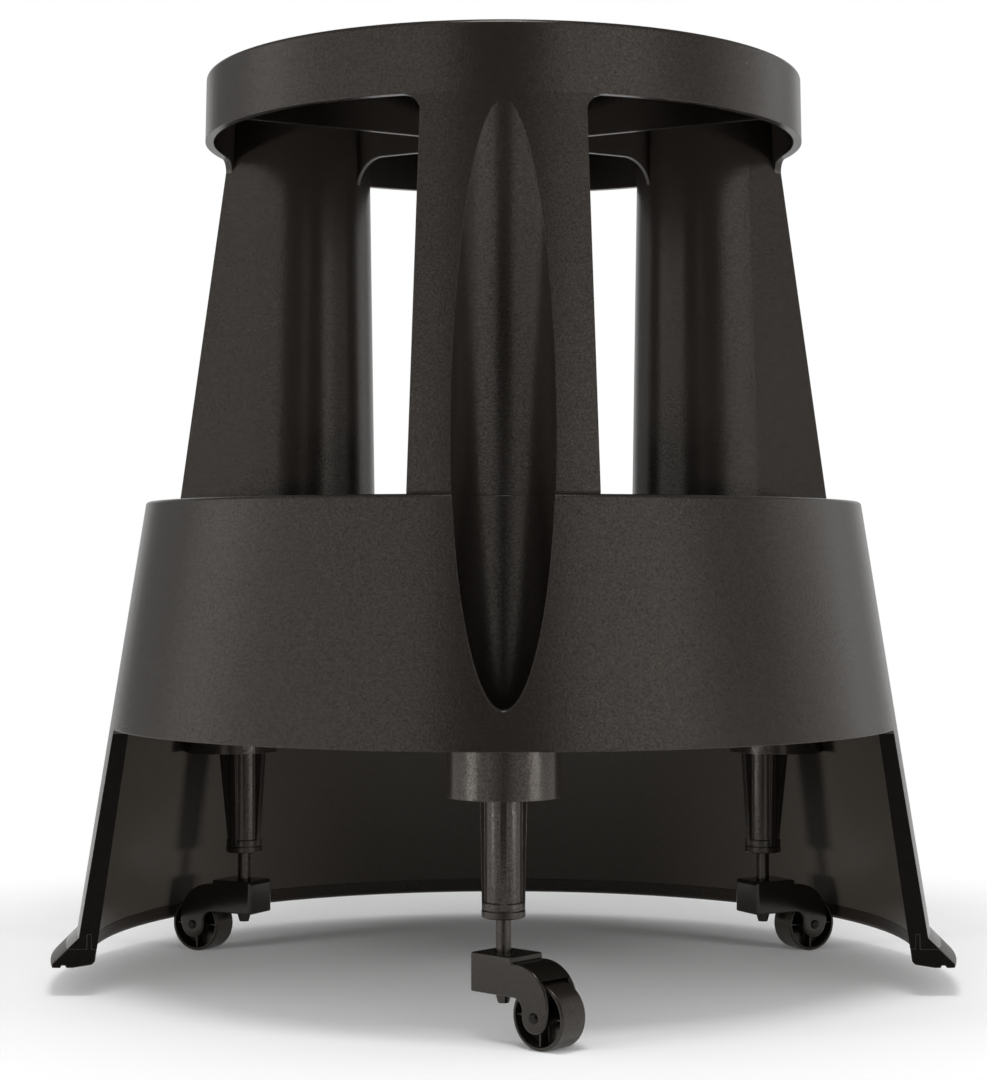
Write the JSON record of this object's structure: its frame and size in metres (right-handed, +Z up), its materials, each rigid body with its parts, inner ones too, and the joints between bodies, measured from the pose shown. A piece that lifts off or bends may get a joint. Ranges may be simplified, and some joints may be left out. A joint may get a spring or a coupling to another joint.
{
  "type": "rolling step stool",
  "caption": "Round rolling step stool with wide columns, treaded top and base, rubber foot ring and sprung castors, shown with its skirt cut away.",
  "frame": {"origin": "on the stool's vertical axis, on the floor", "axes": "+Z up, -Y towards the cut-away front, +X to the right seen from the front"},
  "size_m": [0.4364, 0.4085, 0.4393],
  "materials": {
    "shell_plastic": "fine grained charcoal moulding",
    "tread_rubber": "ribbed matt rubber",
    "foot_rubber": "smooth black rubber",
    "castor_plastic": "black glass-filled nylon",
    "wheel_plastic": "satin black nylon",
    "bush_plastic": "black acetal",
    "black_steel": "blackened steel",
    "ring_steel": "plain steel",
    "spring_steel": "oiled spring wire",
    "screw_steel": "zinc-plated steel"
  },
  "bodies": {
    "base": {"upper_shell": "shell_plastic", "top_tread": "tread_rubber", "lower_shell": "shell_plastic", "front_right_pad": "tread_rubber", "front_left_pad": "tread_rubber", "rear_pad": "tread_rubber", "foot_ring": "foot_rubber", "shell_screws": "screw_steel", "front_bush": "bush_plastic", "front_spring": "spring_steel", "right_bush": "bush_plastic", "right_spring": "spring_steel", "left_bush": "bush_plastic", "left_spring": "spring_steel"},
    "front_slider": {"front_washer": "ring_steel"},
    "front_castor": {"front_stem": "black_steel", "front_ring": "ring_steel", "front_fork": "castor_plastic", "front_axle": "black_steel"},
    "front_rolling": {"front_wheel": "wheel_plastic"},
    "right_slider": {"right_washer": "ring_steel"},
    "right_castor": {"right_stem": "black_steel", "right_ring": "ring_steel", "right_fork": "castor_plastic", "right_axle": "black_steel"},
    "right_rolling": {"right_wheel": "wheel_plastic"},
    "left_slider": {"left_washer": "ring_steel"},
    "left_castor": {"left_stem": "black_steel", "left_ring": "ring_steel", "left_fork": "castor_plastic", "left_axle": "black_steel"},
    "left_rolling": {"left_wheel": "wheel_plastic"}
  },
  "joints": [
    {"name": "front_plunge", "type": "slide", "parent": "base", "child": "front_slider", "axis": [0, 0, 1], "range_m": [0, 0.014], "stiffness_N_per_m": 1500, "springref_m": -0.02, "deforming": ["front_spring"]},
    {"name": "front_swivel", "type": "hinge", "parent": "front_slider", "child": "front_castor", "pos_m": [0, -0.1564, 0], "axis": [0, 0, 1], "continuous": true},
    {"name": "front_roll", "type": "hinge", "parent": "front_castor", "child": "front_rolling", "pos_m": [0.0191, -0.1739, 0.0141], "axis": [0.6756, 0.7373, 0], "continuous": true},
    {"name": "right_plunge", "type": "slide", "parent": "base", "child": "right_slider", "axis": [0, 0, 1], "range_m": [0, 0.014], "stiffness_N_per_m": 1500, "springref_m": -0.02, "deforming": ["right_spring"]},
    {"name": "right_swivel", "type": "hinge", "parent": "right_slider", "child": "right_castor", "pos_m": [0.13545, 0.0782, 0], "axis": [0, 0, 1], "continuous": true},
    {"name": "right_roll", "type": "hinge", "parent": "right_castor", "child": "right_rolling", "pos_m": [0.15831, 0.09036, 0.0141], "axis": [-0.4695, 0.8829, 0], "continuous": true},
    {"name": "left_plunge", "type": "slide", "parent": "base", "child": "left_slider", "axis": [0, 0, 1], "range_m": [0, 0.014], "stiffness_N_per_m": 1500, "springref_m": -0.02, "deforming": ["left_spring"]},
    {"name": "left_swivel", "type": "hinge", "parent": "left_slider", "child": "left_castor", "pos_m": [-0.13545, 0.0782, 0], "axis": [0, 0, 1], "continuous": true},
    {"name": "left_roll", "type": "hinge", "parent": "left_castor", "child": "left_rolling", "pos_m": [-0.15831, 0.09036, 0.0141], "axis": [-0.4695, -0.8829, 0], "continuous": true}
  ]
}
